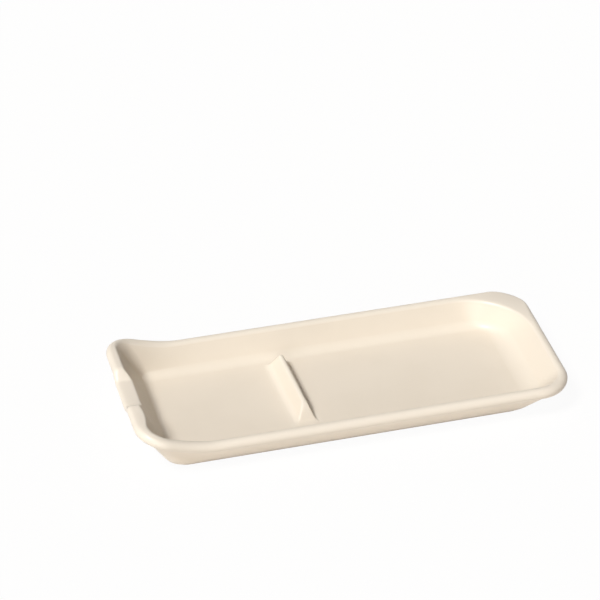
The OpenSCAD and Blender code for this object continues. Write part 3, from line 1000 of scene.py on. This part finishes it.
class SPOONREST_OT_studio(bpy.types.Operator):
    """Make the white table, the light and the camera"""

    bl_idname = "spoon_rest.studio"
    bl_label = "Studio"

    def execute(self, context):
        scene = context.scene
        studio = scene.spoon_rest_studio
        self.make_table(scene, studio)
        self.make_light(scene, studio)
        self.make_camera(scene, studio)
        scene.view_settings.view_transform = "Standard"
        return {"FINISHED"}

    def make_table(self, scene, studio):
        """Level square under the tray."""
        half = studio.floor_size
        mesh = bpy.data.meshes.new("table")
        corners = [(-half, -half, 0.0), (half, -half, 0.0), (half, half, 0.0), (-half, half, 0.0)]
        mesh.from_pydata(corners, [], [(0, 1, 2, 3)])
        mesh.materials.append(table_white(studio))
        table = bpy.data.objects.new("table", mesh)
        scene.collection.objects.link(table)

    def make_light(self, scene, studio):
        """Key light from the left, a low and broad front light, and an even fill all round, which
        the camera and the gloss see as white."""
        for name in ("key", "front"):
            turn, rise, spread, power = (
                getattr(studio, f"{name}_{size}") for size in ("turn", "rise", "spread", "power")
            )
            data = bpy.data.lights.new(name, "SUN")
            data.energy = power
            data.angle = spread
            lamp = bpy.data.objects.new(name, data)
            lamp.rotation_euler = (QUARTER - rise, 0.0, -turn)
            scene.collection.objects.link(lamp)
        world = bpy.data.worlds.new("studio")
        scene.world = world
        sheet = NodeSheet(world)
        fill = sheet.add(
            "ShaderNodeBackground",
            {"Color": opaque(studio.fill_tint), "Strength": studio.fill_power},
        )
        white = sheet.add("ShaderNodeBackground", {"Color": WHITE, "Strength": 1.0})
        seen = seen_rays(sheet)
        both = sheet.add(
            "ShaderNodeMixShader",
            {"Fac": seen, 1: fill.outputs["Background"], 2: white.outputs["Background"]},
        )
        sheet.add("ShaderNodeOutputWorld", {"Surface": both.outputs["Shader"]})

    def make_camera(self, scene, studio):
        """Camera at its place, level from side to side, looking down at its rise."""
        data = bpy.data.cameras.new("camera")
        data.lens = studio.lens
        camera = bpy.data.objects.new("camera", data)
        camera.matrix_world = (
            Matrix.Translation(studio.camera_place)
            @ Matrix.Rotation(-studio.camera_turn, 4, "Z")
            @ Matrix.Rotation(QUARTER - studio.camera_rise, 4, "X")
        )
        scene.collection.objects.link(camera)
        scene.camera = camera


class SPOONREST_PT_panel(bpy.types.Panel):
    """Spoon rest's pieces and sizes"""

    bl_idname = "SPOONREST_PT_panel"
    bl_label = "Spoon Rest"
    bl_space_type = "VIEW_3D"
    bl_region_type = "UI"
    bl_category = "Spoon Rest"

    def draw(self, context):
        """Lists the operators, then each group's sizes and colours in a box."""
        for operator in OPERATORS:
            self.layout.operator(operator.bl_idname)
        for group in GROUPS:
            box = self.layout.box()
            settings = getattr(context.scene, GROUPS[group])
            for name in group.__annotations__:
                box.prop(settings, name)


GROUPS = {
    SpoonRestTray: "spoon_rest_tray",
    SpoonRestFinish: "spoon_rest_finish",
    SpoonRestStudio: "spoon_rest_studio",
}
OPERATORS = (SPOONREST_OT_stoneware_body, SPOONREST_OT_glaze_coat, SPOONREST_OT_studio)
CLASSES = (*GROUPS, *OPERATORS, SPOONREST_PT_panel)


def register():
    """Registers the classes and gives the scene its groups of sizes and colours."""
    for cls in CLASSES:
        bpy.utils.register_class(cls)
    for group, name in GROUPS.items():
        setattr(bpy.types.Scene, name, PointerProperty(type=group))


def unregister():
    """Undoes what register does."""
    for name in GROUPS.values():
        delattr(bpy.types.Scene, name)
    for cls in reversed(CLASSES):
        bpy.utils.unregister_class(cls)


def main():
    """Makes both pieces and the studio."""
    register()
    bpy.ops.spoon_rest.stoneware_body()
    bpy.ops.spoon_rest.glaze_coat()
    bpy.ops.spoon_rest.studio()


if __name__ == "__main__":
    main()
